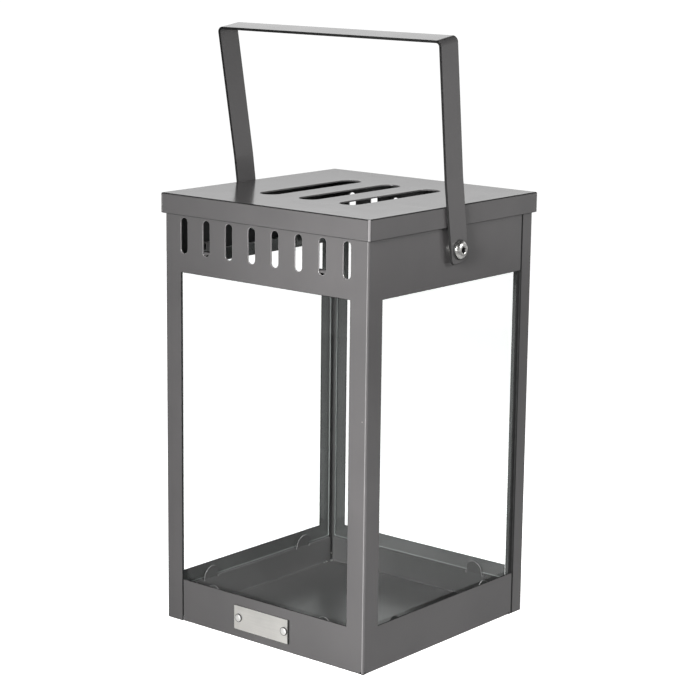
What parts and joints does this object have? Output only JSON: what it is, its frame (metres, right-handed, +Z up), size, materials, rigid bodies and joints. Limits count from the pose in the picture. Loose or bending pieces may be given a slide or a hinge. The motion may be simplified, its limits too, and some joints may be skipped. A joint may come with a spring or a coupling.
{
  "type": "candle lantern",
  "caption": "Square sheet-metal candle lantern with glass panes on all sides, vent slots, a lift-off slotted lid and a swinging strap handle.",
  "frame": {"origin": "centre of the body at ground level, which is the centre of the bottom of the whole box", "axes": "+Z up; -Y is the front, the face with the name plate; the handle swings about an axis parallel to X, and its pivots are on the -X and +X faces"},
  "size_m": [0.196, 0.1844, 0.4161],
  "materials": {
    "coated_steel": "graphite grey powder coat, semi-gloss with a fine orange peel",
    "clear_glass": "clear float glass with a few dust specks",
    "screw_steel": "bright stainless steel",
    "zinc_hardware": "zinc plated",
    "black_nylon": "moulded nylon",
    "plate_steel": "brushed stainless steel with no marking"
  },
  "bodies": {
    "body": {"front_shell": "coated_steel", "rear_shell": "coated_steel", "base_tray": "coated_steel", "front_glass": "clear_glass", "rear_glass": "clear_glass", "left_glass": "clear_glass", "right_glass": "clear_glass", "front_glass_clips": "coated_steel", "rear_glass_clips": "coated_steel", "left_glass_clips": "coated_steel", "right_glass_clips": "coated_steel", "left_pivot_bush": "zinc_hardware", "right_pivot_bush": "zinc_hardware", "left_nylon_washer": "black_nylon", "right_nylon_washer": "black_nylon", "left_pivot_screw": "screw_steel", "right_pivot_screw": "screw_steel", "left_inner_washer": "zinc_hardware", "right_inner_washer": "zinc_hardware", "left_lock_nut": "zinc_hardware", "right_lock_nut": "zinc_hardware", "name_plate": "plate_steel", "left_plate_rivet": "plate_steel", "right_plate_rivet": "plate_steel"},
    "lid": {"lid": "coated_steel"},
    "handle": {"handle": "coated_steel"}
  },
  "joints": [
    {"name": "handle_swing", "type": "hinge", "parent": "body", "child": "handle", "pos_m": [0, 0, 0.2745], "axis": [1, 0, 0], "range_deg": [-144.2, 127.6]},
    {"name": "lid_lift", "type": "slide", "parent": "body", "child": "lid", "axis": [0, 0, 1], "range_m": [0, 0.07]}
  ]
}
